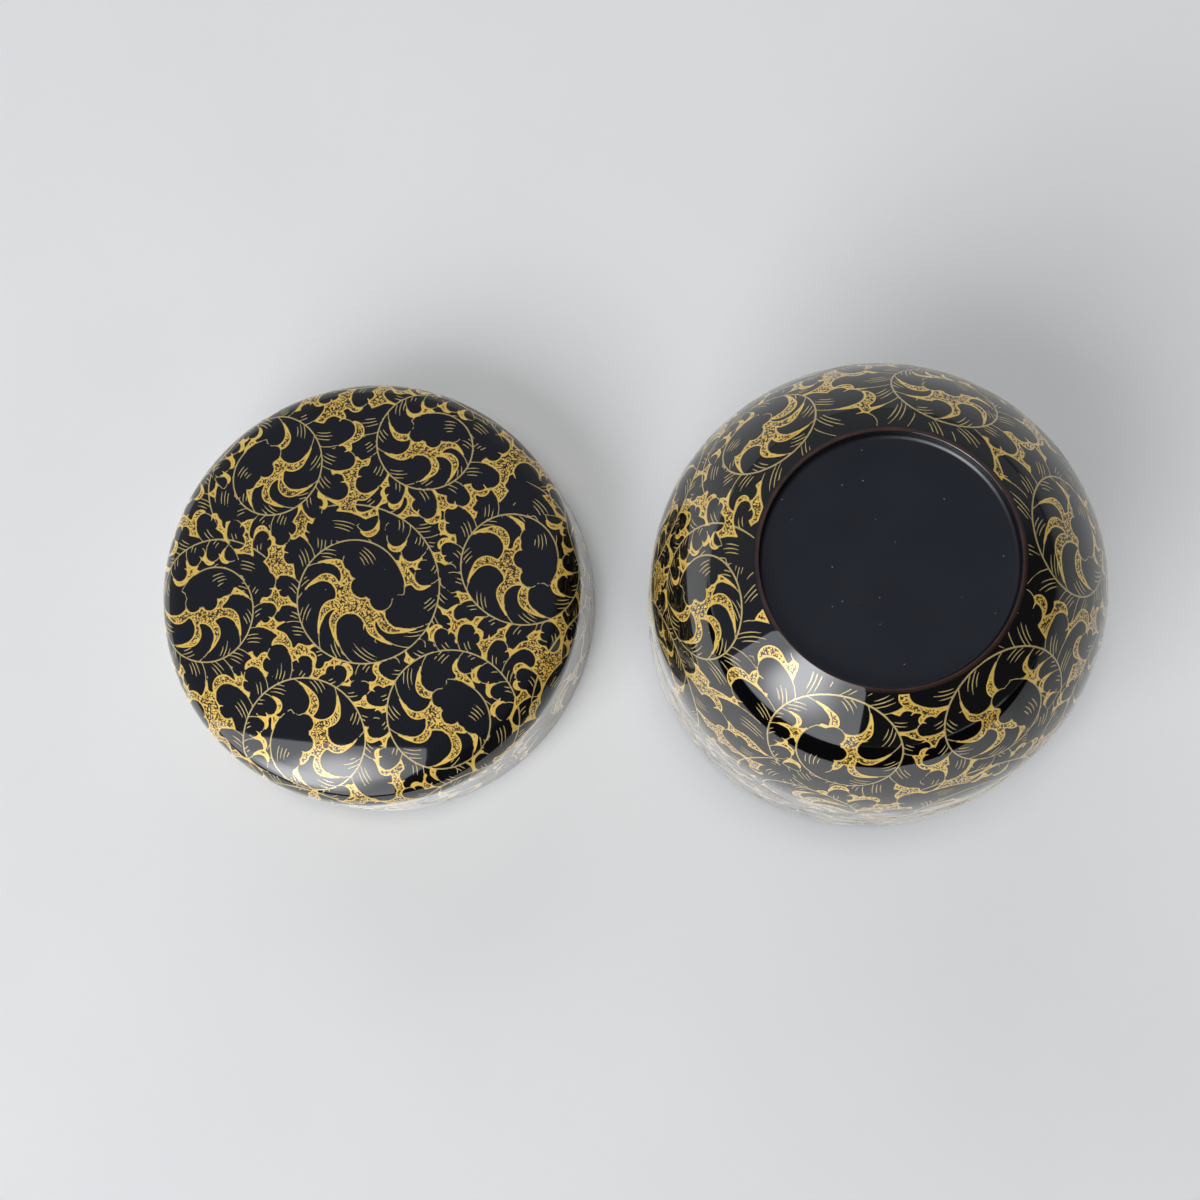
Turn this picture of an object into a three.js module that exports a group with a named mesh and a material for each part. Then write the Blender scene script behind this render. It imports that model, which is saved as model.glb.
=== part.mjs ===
// A lacquered tea caddy in two turned pieces: the lid stands on its rim,
// and the body stands upside down beside it, on the collar that the lid fits over.
import * as THREE from 'three';

// Driving dimensions, in millimetres and degrees
const CADDY_RADIUS = 33;           // outside, where lid and body meet
const LID_HEIGHT = 23.8;           // rim to the top of the crown
const LID_WALL = 2.6;              // finished thickness, coats included
const LID_LEAN = 2.1;              // how far the lid's wall leans in towards its top
const LID_SHOULDER_RADIUS = 5.2;
const LID_CROWN_RADIUS = 113;
const BODY_HEIGHT = 47;            // seat of the lid to the foot
const BODY_LEAN = 4.1;             // how far the body's wall leans in towards its foot
const BOWL_RADIUS = 30.5;          // round from the body's wall to the foot
const COLLAR_HEIGHT = 8.3;
const COLLAR_WALL = 2.2;           // finished thickness, coats included
const COLLAR_CLEARANCE = 0.15;     // from collar to lid where the lid is tightest
const FOOT_RADIUS = 16.6;
const FOOT_LAND = 0.35;            // flat top of the foot's narrow edge
const FOOT_RECESS = 2.2;           // depth of the base below the foot's edge
const FOOT_FILLET = 0.6;
const BASE_THICKNESS = 3.6;        // inside floor to the recessed base
const LACQUER = 0.4;               // ground and lacquer together
const COAT_GAP = 0.08;             // clearance between a coat and what it covers
const STANDING_GAP = 9;            // from lid to body on the table

// Steps of the turned surfaces
const TURN_STEPS = 48;
const CROWN_STEPS = 3;
const SHOULDER_STEPS = 5;
const BOWL_STEPS = 7;
const FILLET_STEPS = 3;

// Depths below the finished surface: the back of a coat, and the wood behind it
const COAT_BACK = LACQUER;
const WOOD = LACQUER + COAT_GAP;

const point = (r, z) => new THREE.Vector2(r, z);
const radians = THREE.MathUtils.degToRad;

// Points of a round in the profile, by how far its surface tilts away from level
function arc(centre, radius, fromTilt, toTilt, steps) {
  return Array.from({ length: steps + 1 }, (_, i) => {
    const tilt = THREE.MathUtils.lerp(fromTilt, toTilt, i / steps);
    return point(centre.x + radius * Math.sin(tilt), centre.y + radius * Math.cos(tilt));
  });
}

// A straight wall that rises from a foot point and leans inwards
function leaningWall(foot, lean) {
  return {
    radiusAt: (depth, z) => foot.x - (depth + (z - foot.y) * Math.sin(lean)) / Math.cos(lean),
    endTilt: Math.PI / 2 - lean,
    // Centre of a round that runs on from the wall and keeps its distance from a target
    roundCentre(radius, target, distance, side) {
      const along = point(-Math.sin(lean), Math.cos(lean));
      const start = point(foot.x - radius * Math.cos(lean), foot.y - radius * Math.sin(lean));
      const offset = start.clone().sub(target);
      const b = offset.dot(along);
      const travel = -b + side * Math.sqrt(b * b - offset.lengthSq() + distance * distance);
      return start.addScaledVector(along, travel);
    },
  };
}

// A solid of revolution from an outline that runs counter-clockwise in radius and height
function turned(outline) {
  return new THREE.LatheGeometry(outline, TURN_STEPS).rotateX(Math.PI / 2);
}

function turnedRing(outline) {
  return turned([...outline, outline[0].clone()]);
}

// Lid: wall, shoulder and crown as one line, at any depth below the outside
const lidWall = leaningWall(point(CADDY_RADIUS, 0), radians(LID_LEAN));
const crownCentre = point(0, LID_HEIGHT - LID_CROWN_RADIUS);
const shoulderCentre = lidWall.roundCentre(
  LID_SHOULDER_RADIUS, crownCentre, LID_CROWN_RADIUS - LID_SHOULDER_RADIUS, 1);
const crownEdgeTilt = Math.atan2(shoulderCentre.x, shoulderCentre.y - crownCentre.y);

function lidLine(depth) {
  const crown = arc(crownCentre, LID_CROWN_RADIUS - depth, 0, crownEdgeTilt, CROWN_STEPS);
  const shoulder = arc(
    shoulderCentre, LID_SHOULDER_RADIUS - depth, crownEdgeTilt, lidWall.endTilt, SHOULDER_STEPS);
  return [...crown, ...shoulder.slice(1), point(lidWall.radiusAt(depth, WOOD), WOOD)];
}

function lidShell(innerDepth, outerDepth) {
  return turned([...lidLine(innerDepth), ...lidLine(outerDepth).reverse()]);
}

function lidRimCoat() {
  return turnedRing([
    point(lidWall.radiusAt(LID_WALL, 0), 0),
    point(lidWall.radiusAt(0, 0), 0),
    point(lidWall.radiusAt(0, LACQUER), LACQUER),
    point(lidWall.radiusAt(LID_WALL, LACQUER), LACQUER),
  ]);
}

// Collar: stands clear of the lid's inside at the depth that it reaches
const collarRadius = lidWall.radiusAt(LID_WALL, COLLAR_HEIGHT) - COLLAR_CLEARANCE;
const mouthRadius = collarRadius - COLLAR_WALL;

// Body: wall and bowl as one line, from the seat of the lid up to the foot
const SEAT_Z = COLLAR_HEIGHT;
const FOOT_Z = SEAT_Z + BODY_HEIGHT;
const BASE_Z = FOOT_Z - FOOT_RECESS;
const FLOOR_Z = BASE_Z - BASE_THICKNESS;
const footEdge = point(FOOT_RADIUS, FOOT_Z);
const recessRadius = FOOT_RADIUS - FOOT_LAND;
const bodyLean = radians(BODY_LEAN);
const bodyWall = leaningWall(point(CADDY_RADIUS, SEAT_Z), bodyLean);
const bowlCentre = bodyWall.roundCentre(BOWL_RADIUS, footEdge, BOWL_RADIUS, -1);
const liningDepth = (CADDY_RADIUS - mouthRadius) * Math.cos(bodyLean);

// Where the bowl, at some depth, reaches a radius or a height
function bowlAtRadius(depth, r) {
  const reach = BOWL_RADIUS - depth;
  return point(r, bowlCentre.y + Math.sqrt(reach * reach - (r - bowlCentre.x) ** 2));
}

function bowlAtHeight(depth, z) {
  const reach = BOWL_RADIUS - depth;
  return point(bowlCentre.x + Math.sqrt(reach * reach - (z - bowlCentre.y) ** 2), z);
}

function tiltOf(p) {
  return Math.atan2(p.x - bowlCentre.x, p.y - bowlCentre.y);
}

const woodTip = bowlAtRadius(WOOD, recessRadius + WOOD);
const outerEndTilt = tiltOf(woodTip);
const innerEndTilt = tiltOf(bowlAtHeight(liningDepth, FLOOR_Z));

function bodyLine(depth, fromZ, endTilt) {
  const bowl = arc(bowlCentre, BOWL_RADIUS - depth, bodyWall.endTilt, endTilt, BOWL_STEPS);
  return [point(bodyWall.radiusAt(depth, fromZ), fromZ), ...bowl];
}

// The inside, from the middle of the floor out and down to a height on the wall
function insideLine(behind, toZ) {
  const depth = liningDepth - behind;
  const floorZ = FLOOR_Z + behind;
  const wall = bodyLine(depth, toZ, innerEndTilt).reverse();
  return [point(0, floorZ), bowlAtHeight(depth, floorZ), ...wall];
}

function bodyCore() {
  const collarTop = SEAT_Z + WOOD;
  return turned([
    ...insideLine(WOOD, SEAT_Z),
    point(mouthRadius + WOOD, WOOD),
    point(collarRadius - WOOD, WOOD),
    point(collarRadius - WOOD, collarTop),
    ...bodyLine(WOOD, collarTop, outerEndTilt),
    point(recessRadius + WOOD, BASE_Z - WOOD),
    point(0, BASE_Z - WOOD),
  ]);
}

function bodyOuterCoat() {
  const lipZ = FOOT_Z - LACQUER;
  return turnedRing([
    ...bodyLine(0, SEAT_Z + WOOD, outerEndTilt),
    footEdge,
    point(recessRadius, FOOT_Z),
    point(recessRadius, lipZ),
    bowlAtHeight(COAT_BACK, lipZ),
    ...bodyLine(COAT_BACK, SEAT_Z + WOOD, outerEndTilt).reverse(),
  ]);
}

function bodyLining() {
  const edgeZ = SEAT_Z + COAT_GAP;
  return turned([...insideLine(0, edgeZ), ...insideLine(COAT_BACK, edgeZ).reverse()]);
}

// The coat of the collar runs from the mouth round the rim to the seat of the lid
function collarCoat() {
  return turnedRing([
    point(mouthRadius, SEAT_Z),
    point(mouthRadius, 0),
    point(collarRadius, 0),
    point(collarRadius, SEAT_Z),
    point(CADDY_RADIUS, SEAT_Z),
    point(bodyWall.radiusAt(0, SEAT_Z + LACQUER), SEAT_Z + LACQUER),
    point(collarRadius - LACQUER, SEAT_Z + LACQUER),
    point(collarRadius - LACQUER, LACQUER),
    point(mouthRadius + LACQUER, LACQUER),
    point(mouthRadius + LACQUER, SEAT_Z),
  ]);
}

// The coat of the recessed base climbs the inside of the foot's edge
function footCoat() {
  const topZ = FOOT_Z - WOOD;
  const filletCentre = point(recessRadius - FOOT_FILLET, BASE_Z + FOOT_FILLET);
  return turned([
    point(0, BASE_Z - LACQUER),
    point(recessRadius + LACQUER, BASE_Z - LACQUER),
    bowlAtRadius(WOOD, recessRadius + LACQUER),
    bowlAtHeight(WOOD, topZ),
    point(recessRadius, topZ),
    ...arc(filletCentre, FOOT_FILLET, Math.PI / 2, Math.PI, FILLET_STEPS),
    point(0, BASE_Z),
  ]);
}

// Materials
function finish(color, roughness) {
  return new THREE.MeshStandardMaterial({ color, roughness, metalness: 0 });
}

const turnedWood = finish(0xb88b5c, 0.6);
const polishedLacquer = finish(0x0d0d10, 0.05);
const liningLacquer = finish(0x121214, 0.2);
const baseLacquer = finish(0x17171b, 0.3);

function piece(name, geometry, material) {
  const mesh = new THREE.Mesh(geometry, material);
  mesh.name = name;
  return mesh;
}

// Assembly: both pieces stand on the table, either side of the origin
const lid = new THREE.Group();
lid.add(
  piece('lid_core', lidShell(LID_WALL - WOOD, WOOD), turnedWood),
  piece('lid_outer_coat', lidShell(COAT_BACK, 0), polishedLacquer),
  piece('lid_lining', lidShell(LID_WALL, LID_WALL - COAT_BACK), liningLacquer),
  piece('lid_rim_coat', lidRimCoat(), liningLacquer),
);

const body = new THREE.Group();
body.add(
  piece('body_core', bodyCore(), turnedWood),
  piece('body_outer_coat', bodyOuterCoat(), polishedLacquer),
  piece('body_lining', bodyLining(), liningLacquer),
  piece('collar_coat', collarCoat(), liningLacquer),
  piece('foot_coat', footCoat(), baseLacquer),
);

const halfSpan = CADDY_RADIUS + STANDING_GAP / 2;
lid.position.x = -halfSpan;
body.position.x = halfSpan;

const caddy = new THREE.Group();
caddy.add(lid, body);

export default caddy;
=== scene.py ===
# %% [markdown]
# A lacquer tea caddy, taken apart on a table: the lid stands on its rim, and the body
# stands upside down beside it. The solids come from the CAD model as a fixed frame, and
# this lesson dresses them. Faceted solids can't hold a mirror polish, so each coat of
# lacquer is turned again here, finely, in the same place and at the same size.

# %% Load the frame
import math

import bpy
import bmesh
import numpy as np
from mathutils import Matrix, Vector
from mathutils.geometry import delaunay_2d_cdt


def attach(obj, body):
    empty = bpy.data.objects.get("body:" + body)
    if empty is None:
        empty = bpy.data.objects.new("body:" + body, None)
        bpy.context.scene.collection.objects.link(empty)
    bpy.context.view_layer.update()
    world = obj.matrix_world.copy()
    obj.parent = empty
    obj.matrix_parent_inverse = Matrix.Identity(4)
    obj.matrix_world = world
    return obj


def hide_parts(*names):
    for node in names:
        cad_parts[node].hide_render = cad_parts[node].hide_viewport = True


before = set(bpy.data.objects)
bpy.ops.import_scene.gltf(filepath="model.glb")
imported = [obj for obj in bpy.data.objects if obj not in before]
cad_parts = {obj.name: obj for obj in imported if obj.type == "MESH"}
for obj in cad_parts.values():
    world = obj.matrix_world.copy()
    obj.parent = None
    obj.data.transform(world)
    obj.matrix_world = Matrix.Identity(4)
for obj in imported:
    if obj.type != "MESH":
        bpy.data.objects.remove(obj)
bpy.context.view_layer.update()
MM = 0.001
print("nodes:", sorted(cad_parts))

# %% [markdown]
# Every coat follows one of two outlines, the lid's and the body's, at some depth below
# the outside. The sizes repeat those of the CAD source, in millimetres, so a turned coat
# lands exactly on the solid that it stands for.

# %% Sizes of the caddy
CADDY_RADIUS = 33.0
LID_HEIGHT = 23.8
LID_WALL = 2.6
LID_LEAN = math.radians(2.1)
SHOULDER_RADIUS = 5.2
CROWN_RADIUS = 113.0
BODY_LEAN = math.radians(4.1)
BOWL_RADIUS = 30.5
COLLAR_WALL = 2.2
COLLAR_CLEARANCE = 0.15
SEAT_Z = 8.3
FOOT_Z = 55.3
FOOT_RADIUS = 16.6
FOOT_LAND = 0.35
FOOT_FILLET = 0.6
BASE_Z = FOOT_Z - 2.2
FLOOR_Z = BASE_Z - 3.6
LACQUER = 0.4
LID_AXIS = -37.5
BODY_AXIS = 37.5
print("caddy", 2 * CADDY_RADIUS, "mm across, lid", LID_HEIGHT, "mm high, body", FOOT_Z, "mm high")

# %% [markdown]
# A turner's profile is straight walls and rounds that run into each other. A round is
# given by its centre and by how far its surface tilts away from level, so the same
# centre serves the outside, the back of the coat and the inside.

# %% Straight walls and rounds
def wall_radius(foot_radius, foot_z, lean, depth, z):
    return foot_radius - (depth + (z - foot_z) * math.sin(lean)) / math.cos(lean)


def round_centre(foot_radius, foot_z, lean, radius, target, distance, side):
    along = np.array([-math.sin(lean), math.cos(lean)])
    start = np.array([foot_radius - radius * math.cos(lean), foot_z - radius * math.sin(lean)])
    offset = start - target
    b = offset @ along
    travel = -b + side * math.sqrt(b * b - offset @ offset + distance * distance)
    return start + along * travel


def round_points(centre, radius, from_tilt, to_tilt, steps):
    tilts = np.linspace(from_tilt, to_tilt, steps + 1)
    return [(centre[0] + radius * math.sin(t), centre[1] + radius * math.cos(t)) for t in tilts]


print("a quarter round in two steps:", np.round(round_points((0, 0), 1, 0, math.pi / 2, 2), 3).tolist())

# %% [markdown]
# The lid has a low crown, a tight shoulder and a wall that leans in a little. The crown
# and the shoulder touch at one tilt, so the outline has no kink that a mirror would show.

# %% Outline of the lid
CROWN_CENTRE = np.array([0.0, LID_HEIGHT - CROWN_RADIUS])
SHOULDER_CENTRE = round_centre(
    CADDY_RADIUS, 0, LID_LEAN, SHOULDER_RADIUS, CROWN_CENTRE, CROWN_RADIUS - SHOULDER_RADIUS, 1)
CROWN_EDGE = math.atan2(SHOULDER_CENTRE[0], SHOULDER_CENTRE[1] - CROWN_CENTRE[1])


def lid_line(depth, down_to, fine=1):
    """From the middle of the crown out over the shoulder and down the wall."""
    crown = round_points(CROWN_CENTRE, CROWN_RADIUS - depth, 0, CROWN_EDGE, 24 * fine)
    shoulder = round_points(
        SHOULDER_CENTRE, SHOULDER_RADIUS - depth, CROWN_EDGE, math.pi / 2 - LID_LEAN, 30 * fine)
    wall = [(wall_radius(CADDY_RADIUS, 0, LID_LEAN, depth, z), z)
            for z in np.linspace(shoulder[-1][1], down_to, 12 * fine + 1)]
    return crown + shoulder[1:] + wall[1:]


print("crown meets shoulder at", round(math.degrees(CROWN_EDGE), 2), "degrees from level")

# %% [markdown]
# The body's wall leans in towards the foot and runs into one large round, the bowl, which
# ends at the foot's edge. The collar's radius comes from the lid: its inside, at the depth
# that the collar reaches, less the clearance that lets the lid slide.

# %% Outline of the body
FOOT_EDGE = np.array([FOOT_RADIUS, FOOT_Z])
RECESS_RADIUS = FOOT_RADIUS - FOOT_LAND
BOWL_CENTRE = round_centre(CADDY_RADIUS, SEAT_Z, BODY_LEAN, BOWL_RADIUS, FOOT_EDGE, BOWL_RADIUS, -1)
COLLAR_RADIUS = wall_radius(CADDY_RADIUS, 0, LID_LEAN, LID_WALL, SEAT_Z) - COLLAR_CLEARANCE
MOUTH_RADIUS = COLLAR_RADIUS - COLLAR_WALL
LINING_DEPTH = (CADDY_RADIUS - MOUTH_RADIUS) * math.cos(BODY_LEAN)


def bowl_tilt(depth, z):
    """How far the bowl tilts, at some depth, where it reaches a height."""
    return math.acos((z - BOWL_CENTRE[1]) / (BOWL_RADIUS - depth))


def body_line(depth, up_to, down_to, fine=1):
    """From a height near the foot down the bowl and the wall."""
    bowl = round_points(
        BOWL_CENTRE, BOWL_RADIUS - depth, bowl_tilt(depth, up_to), math.pi / 2 - BODY_LEAN, 48 * fine)
    wall = [(wall_radius(CADDY_RADIUS, SEAT_Z, BODY_LEAN, depth, z), z)
            for z in np.linspace(bowl[-1][1], down_to, 16 * fine + 1)]
    return bowl + wall[1:]


print("collar radius", round(COLLAR_RADIUS, 3), "mouth radius", round(MOUTH_RADIUS, 3))

# %% [markdown]
# On the real caddy each part is turned on a lathe, and Blender's own lathe is Spin. A
# small plane is cut down to one vertex, the vertex is extruded along the profile, and
# the profile is spun once round the axis. The last ring falls on the first, so doubles
# are merged, and only then are the normals turned outwards.

# %% Turning a coat
TURNS = 240
SHARP = math.radians(30)
SAME_PLACE = 1e-6


def turn(name, profile, axis_x, closed=True):
    bpy.ops.object.select_all(action="DESELECT")
    points = [Vector((axis_x + r, 0, z)) * MM for r, z in profile]
    bpy.ops.mesh.primitive_plane_add(size=MM, location=(0, 0, 0))
    piece = bpy.context.object
    piece.name = piece.data.name = name
    bpy.ops.object.mode_set(mode="EDIT")
    bpy.ops.mesh.merge(type="CENTER")
    bpy.ops.transform.translate(value=points[0])
    for here, there in zip(points[:-1], points[1:]):
        bpy.ops.mesh.extrude_region_move(TRANSFORM_OT_translate={"value": there - here})
    if closed:
        bpy.ops.mesh.select_all(action="DESELECT")
        ends = bmesh.from_edit_mesh(piece.data).verts
        ends.ensure_lookup_table()
        ends[0].select = ends[-1].select = True
        bpy.ops.mesh.edge_face_add()
    bpy.ops.mesh.select_all(action="SELECT")
    axis_place = (axis_x * MM, 0, 0)
    bpy.ops.mesh.spin(steps=TURNS, angle=math.tau, center=axis_place, axis=(0, 0, 1))
    bpy.ops.mesh.select_all(action="SELECT")
    bpy.ops.mesh.remove_doubles(threshold=SAME_PLACE)
    bpy.ops.mesh.normals_make_consistent(inside=False)
    bpy.ops.object.mode_set(mode="OBJECT")
    bpy.ops.object.shade_smooth_by_angle(angle=SHARP)
    print(name, len(piece.data.polygons), "faces")
    return piece


# %% [markdown]
# The lid wears three coats: the mirror-polished outside, the satin inside and the narrow
# ring on its rim. A maker wipes the edges of the rim round, so the ring's two lower
# corners are small rounds and not sharp turns.

# %% Coats of the lid
EDGE_ROUND = 0.22
EDGE_STEPS = 6


def there_and_back(front, back):
    return front + back[::-1]


def wiped_edges(inner, outer):
    """The two lower corners of a ring, as small rounds."""
    left, right = (inner + EDGE_ROUND, EDGE_ROUND), (outer - EDGE_ROUND, EDGE_ROUND)
    return (round_points(left, EDGE_ROUND, -math.pi / 2, -math.pi, EDGE_STEPS)
            + round_points(right, EDGE_ROUND, math.pi, math.pi / 2, EDGE_STEPS))


lid_outer_section = there_and_back(lid_line(0, LACQUER), lid_line(LACQUER, LACQUER))
lid_lacquer = turn("lid_lacquer", lid_outer_section, LID_AXIS, closed=False)
lid_inner_section = there_and_back(lid_line(LID_WALL, LACQUER), lid_line(LID_WALL - LACQUER, LACQUER))
lid_inside = turn("lid_inside_lacquer", lid_inner_section, LID_AXIS, closed=False)

rim_out = wall_radius(CADDY_RADIUS, 0, LID_LEAN, 0, 0)
rim_in = wall_radius(CADDY_RADIUS, 0, LID_LEAN, LID_WALL, 0)
rim_section = wiped_edges(rim_in, rim_out) + [
    (wall_radius(CADDY_RADIUS, 0, LID_LEAN, 0, LACQUER), LACQUER),
    (wall_radius(CADDY_RADIUS, 0, LID_LEAN, LID_WALL, LACQUER), LACQUER)]
lid_rim = turn("lid_rim_lacquer", rim_section, LID_AXIS)

# %% [markdown]
# The body's polished coat runs from the seat of the lid up the wall and the bowl, laps
# over the foot's narrow edge and stops just inside it. That edge is a fine bead that
# catches the light, so the section goes over it in a half round.

# %% Outside of the body
BEAD = FOOT_LAND / 2
BEAD_DROP = 0.15
BEAD_END = math.radians(31)
ROUND_STEPS = 8
LIP_Z = FOOT_Z - LACQUER
SEAT_TOP = SEAT_Z + LACQUER
bead_centre = (RECESS_RADIUS + BEAD, FOOT_Z - BEAD)
bead = round_points(bead_centre, BEAD, -math.pi / 2, BEAD_END, ROUND_STEPS)
outside = body_line(0, FOOT_Z - BEAD_DROP, SEAT_TOP)
back = body_line(LACQUER, LIP_Z, SEAT_TOP)
body_lacquer = turn(
    "body_lacquer", bead + outside + back[::-1] + [(RECESS_RADIUS, LIP_Z)], BODY_AXIS)

# %% [markdown]
# The recessed base is satin lacquer. It turns up into the inside of the foot through a
# small fillet, which catches the light as one pale line, so the fillet gets eight steps
# of its own.

# %% Recessed base
BASE_RINGS = (0, 5, 10, 14)
LIP_SLANT = 0.5
base_top = [(radius, BASE_Z) for radius in BASE_RINGS]
fillet_centre = (RECESS_RADIUS - FOOT_FILLET, BASE_Z + FOOT_FILLET)
fillet = round_points(fillet_centre, FOOT_FILLET, math.pi, math.pi / 2, ROUND_STEPS)
base_back = [
    (RECESS_RADIUS, LIP_Z), (RECESS_RADIUS + LACQUER, LIP_Z - LIP_SLANT),
    (RECESS_RADIUS + LACQUER, BASE_Z - LACQUER), (0, BASE_Z - LACQUER)]
foot_lacquer = turn("foot_lacquer", base_top + fillet + base_back, BODY_AXIS, closed=False)

# %% [markdown]
# Inside, the body is lined with satin lacquer, and the collar that the lid slides over
# is coated all round, from the mouth over its rim to the seat.

# %% Lining and collar of the body
def inside_line(behind):
    depth = LINING_DEPTH - behind
    top = FLOOR_Z + behind
    wall = body_line(depth, top, SEAT_Z)
    return [(0, top), (wall[0][0] * 0.5, top)] + wall


body_inside = turn(
    "body_inside_lacquer", there_and_back(inside_line(0), inside_line(LACQUER)), BODY_AXIS, closed=False)

collar_section = [(MOUTH_RADIUS, SEAT_Z)] + wiped_edges(MOUTH_RADIUS, COLLAR_RADIUS) + [
    (COLLAR_RADIUS, SEAT_Z), (CADDY_RADIUS, SEAT_Z),
    (wall_radius(CADDY_RADIUS, SEAT_Z, BODY_LEAN, 0, SEAT_TOP), SEAT_TOP),
    (COLLAR_RADIUS - LACQUER, SEAT_TOP), (COLLAR_RADIUS - LACQUER, LACQUER),
    (MOUTH_RADIUS + LACQUER, LACQUER), (MOUTH_RADIUS + LACQUER, SEAT_Z)]
collar_lacquer = turn("collar_lacquer", collar_section, BODY_AXIS)

# %% [markdown]
# The ornament is gold pressed into cut lines: leaf scrolls that curl over the whole
# outside. Hundreds of leaves overlap, taper and fork, which no primitive or modifier
# gives. So each turned face is rolled out flat, the leaves are drawn there as distances,
# and the gold that is left between them is cut out and laid back on the curve. The face
# is stretched by the same share both ways at each spot, so a round curl stays round.

# %% Rolling a face out flat
BODY_GRID = 0.112
LID_GRID = 0.115
FAR = 9.0


class FlatFace:
    """The outside of a coat, rolled out flat, and the gold drawn on it."""

    def __init__(self, line, wraps):
        self.radius, self.height = np.array(line).T
        across = np.diff(self.radius)
        steps = np.hypot(across, np.diff(self.height))
        growth = 2 * (steps - across) / (self.radius[1:] + self.radius[:-1])
        self.along = np.insert(np.cumsum(steps), 0, 0)
        self.flat = self.radius * np.exp(np.insert(np.cumsum(growth), 0, 0))
        self.stretch = np.insert(self.flat[1:] / self.radius[1:], 0, 1)
        fall = -np.gradient(self.height, self.along)
        self.tilt = np.arctan2(fall, np.gradient(self.radius, self.along))
        self.wraps = wraps
        self.lay_grid()

    def lay_grid(self):
        if self.wraps:
            count = round(math.tau * self.radius.max() / BODY_GRID)
            self.cell = math.tau / count
            rows = np.arange(math.log(self.flat[-1] / self.flat[0]) / self.cell + 2)
            reach = self.flat[0] * np.exp(rows * self.cell)
            turn = np.arange(count) * self.cell
            x, y = np.outer(reach, np.cos(turn)), np.outer(reach, np.sin(turn))
        else:
            self.cell = LID_GRID
            half = math.ceil(self.flat[-1] / self.cell) + 3
            self.edge = -half * self.cell
            ticks = np.arange(-half, half + 1) * self.cell
            x, y = np.meshgrid(ticks, ticks)
        self.shape = x.shape
        self.x, self.y = x.ravel(), y.ravel()
        reach = np.hypot(self.x, self.y)
        self.scale = np.interp(reach, self.flat, self.stretch)
        self.down = np.interp(reach, self.flat, self.along, right=self.along[-1] + FAR)
        self.gold = np.full(x.size, FAR)
        self.strokes = np.full(x.size, -FAR)
        self.thorns = np.full(x.size, -FAR)

    def scale_at(self, spot):
        return np.interp(np.hypot(*spot), self.flat, self.stretch)

    def spot(self, down, turn):
        return np.interp(down, self.along, self.flat) * facing(turn)

    def near(self, spot, reach):
        return np.flatnonzero((self.x - spot[0]) ** 2 + (self.y - spot[1]) ** 2 < reach * reach)

    def read(self, field, x, y):
        """A field between its grid points."""
        if self.wraps:
            row = np.log(np.hypot(x, y) / self.flat[0]) / self.cell
            column = np.arctan2(y, x) % math.tau / self.cell
        else:
            row, column = (y - self.edge) / self.cell, (x - self.edge) / self.cell
        row = np.clip(row, 0, self.shape[0] - 1.001)
        low_row, low_column = row.astype(int), column.astype(int)
        up, right = row - low_row, column - low_column
        next_column = (low_column + 1) % self.shape[1]
        low_column = low_column % self.shape[1]
        table = field.reshape(self.shape)
        low = table[low_row, low_column] * (1 - right) + table[low_row, next_column] * right
        high = table[low_row + 1, low_column] * (1 - right) + table[low_row + 1, next_column] * right
        return low * (1 - up) + high * up

    def lift(self, flat, axis_x, above):
        """Back from the flat on to the curve, some way above the lacquer."""
        reach = np.hypot(*flat.T)
        turn = np.arctan2(flat[:, 1], flat[:, 0])
        tilt = np.interp(reach, self.flat, self.tilt)
        radius = np.interp(reach, self.flat, self.radius) + above * np.sin(tilt)
        height = np.interp(reach, self.flat, self.height) + above * np.cos(tilt)
        return np.column_stack([axis_x + radius * np.cos(turn), radius * np.sin(turn), height]) * MM


def facing(turn):
    return np.array([math.cos(turn), math.sin(turn)])


FINE = 8
lid_face = FlatFace(lid_line(0, 0, FINE), wraps=False)
body_face = FlatFace(body_line(0, FOOT_Z, SEAT_Z, FINE), wraps=True)
print("flat lid", lid_face.shape, "flat body", body_face.shape)

# %% [markdown]
# A leaf is a bent spine that grows wider towards its round tip, drawn as a chain of
# tapering links. The distance to that chain is all that the drawing needs: less than
# nothing is inside the leaf, and one distance laid over another hides what lies below.

# %% Spine of a leaf
LINKS = 8
NECK = 0.85
WIDEST_AT = 0.78
WIDTH_SHAPE = 1.4
TIP_TAPER = 0.10
LOBE = 0.66
LOBE_ALONG = 0.26
LOBE_BEHIND = 0.74
VEIN_SHIFT = 0.12
HEAD_LOBE = 0.43
HEAD_LOBE_OUT = 0.80
HEAD_VEIN_SHIFT = -0.35
# How far along the spine each lobe of a head stands, and to which side, in degrees
HEAD_LOBES = ((0.16, 90), (0.66, 92), (1.0, 62), (1.0, -6), (0.95, -72))


def bent_line(start, heading, bend, length):
    share = np.linspace(0, 1, LINKS)
    turns = heading + bend * (share[1:] + share[:-1]) / 2
    steps = np.column_stack([np.cos(turns), np.sin(turns)]) * length / (LINKS - 1)
    return share, start + np.insert(np.cumsum(steps, axis=0), 0, 0, axis=0)


def chain_distance(x, y, points, widths):
    nearest = np.full(x.shape, np.inf)
    for a, b, wide_a, wide_b in zip(points, points[1:], widths, widths[1:]):
        link = b - a
        share = np.clip(((x - a[0]) * link[0] + (y - a[1]) * link[1]) / (link @ link), 0, 1)
        away = np.hypot(x - a[0] - share * link[0], y - a[1] - share * link[1])
        nearest = np.minimum(nearest, away - wide_a - (wide_b - wide_a) * share)
    return nearest


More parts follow.
